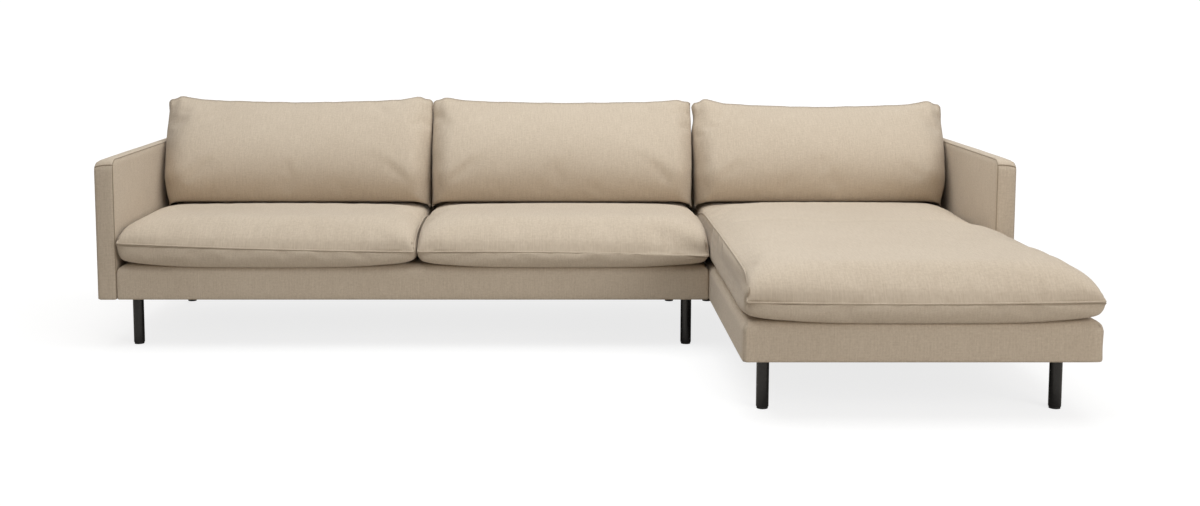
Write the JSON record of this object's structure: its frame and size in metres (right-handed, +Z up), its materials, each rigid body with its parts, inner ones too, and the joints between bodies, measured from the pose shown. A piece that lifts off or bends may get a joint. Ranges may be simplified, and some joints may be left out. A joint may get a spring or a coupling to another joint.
{
  "type": "sectional sofa with chaise",
  "caption": "Sectional sofa in two joined sections with slim arms, loose seat and back cushions, a chaise on the right and round tube legs.",
  "frame": {"origin": "on the floor, at the middle of the overall plan, arm to arm and chaise front to back", "axes": "+X to the right seen from the front, +Y to the rear, +Z up"},
  "size_m": [3.05, 1.73, 0.8026],
  "materials": {
    "upholstery": "sand-coloured slub weave, matt",
    "foam": "cut polyurethane foam",
    "plywood": "raw birch plywood and pine blocks",
    "hardboard": "thin hardboard",
    "webbing": "elastic webbing",
    "felt": "pressed felt",
    "dust_cloth": "spun-bonded cloth",
    "black_tube": "black powder coat with a low sheen",
    "black_steel": "black coated plate",
    "zinc_steel": "zinc plated",
    "glide_plastic": "moulded plastic"
  },
  "bodies": {
    "sofa_section": {"sofa_front_rail": "plywood", "sofa_end_rails": "plywood", "sofa_cross_rails": "plywood", "sofa_rear_rail": "plywood", "sofa_corner_blocks": "plywood", "sofa_seat_webbing": "webbing", "sofa_deck_pad": "felt", "sofa_base_cover": "upholstery", "sofa_dust_cover": "dust_cloth", "sofa_back_frame": "plywood", "sofa_back_panel": "hardboard", "sofa_back_webbing": "webbing", "sofa_back_cover": "upholstery", "left_arm_frame": "plywood", "left_arm_cover": "upholstery", "left_arm_bolts": "zinc_steel", "sofa_front_left_leg": "black_tube", "sofa_front_right_leg": "black_tube", "sofa_rear_left_leg": "black_tube", "sofa_rear_right_leg": "black_tube", "sofa_leg_glides": "glide_plastic", "connector_plates": "black_steel"},
    "chaise_section": {"chaise_front_rail": "plywood", "chaise_side_rails": "plywood", "chaise_cross_rails": "plywood", "chaise_rear_rail": "plywood", "chaise_corner_blocks": "plywood", "chaise_seat_webbing": "webbing", "chaise_deck_pad": "felt", "chaise_base_cover": "upholstery", "chaise_dust_cover": "dust_cloth", "chaise_back_frame": "plywood", "chaise_back_panel": "hardboard", "chaise_back_webbing": "webbing", "chaise_back_cover": "upholstery", "right_arm_frame": "plywood", "right_arm_cover": "upholstery", "right_arm_bolts": "zinc_steel", "chaise_front_left_leg": "black_tube", "chaise_front_right_leg": "black_tube", "chaise_rear_left_leg": "black_tube", "chaise_rear_right_leg": "black_tube", "chaise_leg_glides": "glide_plastic", "connector_sockets": "black_steel"},
    "seat_cushion_left": {"seat_cushion_left_case": "upholstery", "seat_cushion_left_core": "foam"},
    "seat_cushion_middle": {"seat_cushion_middle_case": "upholstery", "seat_cushion_middle_core": "foam"},
    "chaise_cushion": {"chaise_cushion_case": "upholstery", "chaise_cushion_core": "foam"},
    "back_cushion_left": {"back_cushion_left_case": "upholstery", "back_cushion_left_core": "foam"},
    "back_cushion_middle": {"back_cushion_middle_case": "upholstery", "back_cushion_middle_core": "foam"},
    "back_cushion_right": {"back_cushion_right_case": "upholstery", "back_cushion_right_core": "foam"}
  },
  "joints": [
    {"name": "chaise_section_lift", "type": "slide", "parent": "sofa_section", "child": "chaise_section", "axis": [0, 0, 1], "range_m": [0, 0.06]},
    {"name": "seat_cushion_left_lift", "type": "slide", "parent": "sofa_section", "child": "seat_cushion_left", "axis": [0, 0, 1], "range_m": [0, 0.4]},
    {"name": "seat_cushion_middle_lift", "type": "slide", "parent": "sofa_section", "child": "seat_cushion_middle", "axis": [0, 0, 1], "range_m": [0, 0.4]},
    {"name": "chaise_cushion_lift", "type": "slide", "parent": "chaise_section", "child": "chaise_cushion", "axis": [0, 0, 1], "range_m": [0, 0.4]},
    {"name": "back_cushion_left_lift", "type": "slide", "parent": "seat_cushion_left", "child": "back_cushion_left", "axis": [0, 0, 1], "range_m": [0, 0.45]},
    {"name": "back_cushion_middle_lift", "type": "slide", "parent": "seat_cushion_middle", "child": "back_cushion_middle", "axis": [0, 0, 1], "range_m": [0, 0.45]},
    {"name": "back_cushion_right_lift", "type": "slide", "parent": "chaise_cushion", "child": "back_cushion_right", "axis": [0, 0, 1], "range_m": [0, 0.45]}
  ]
}
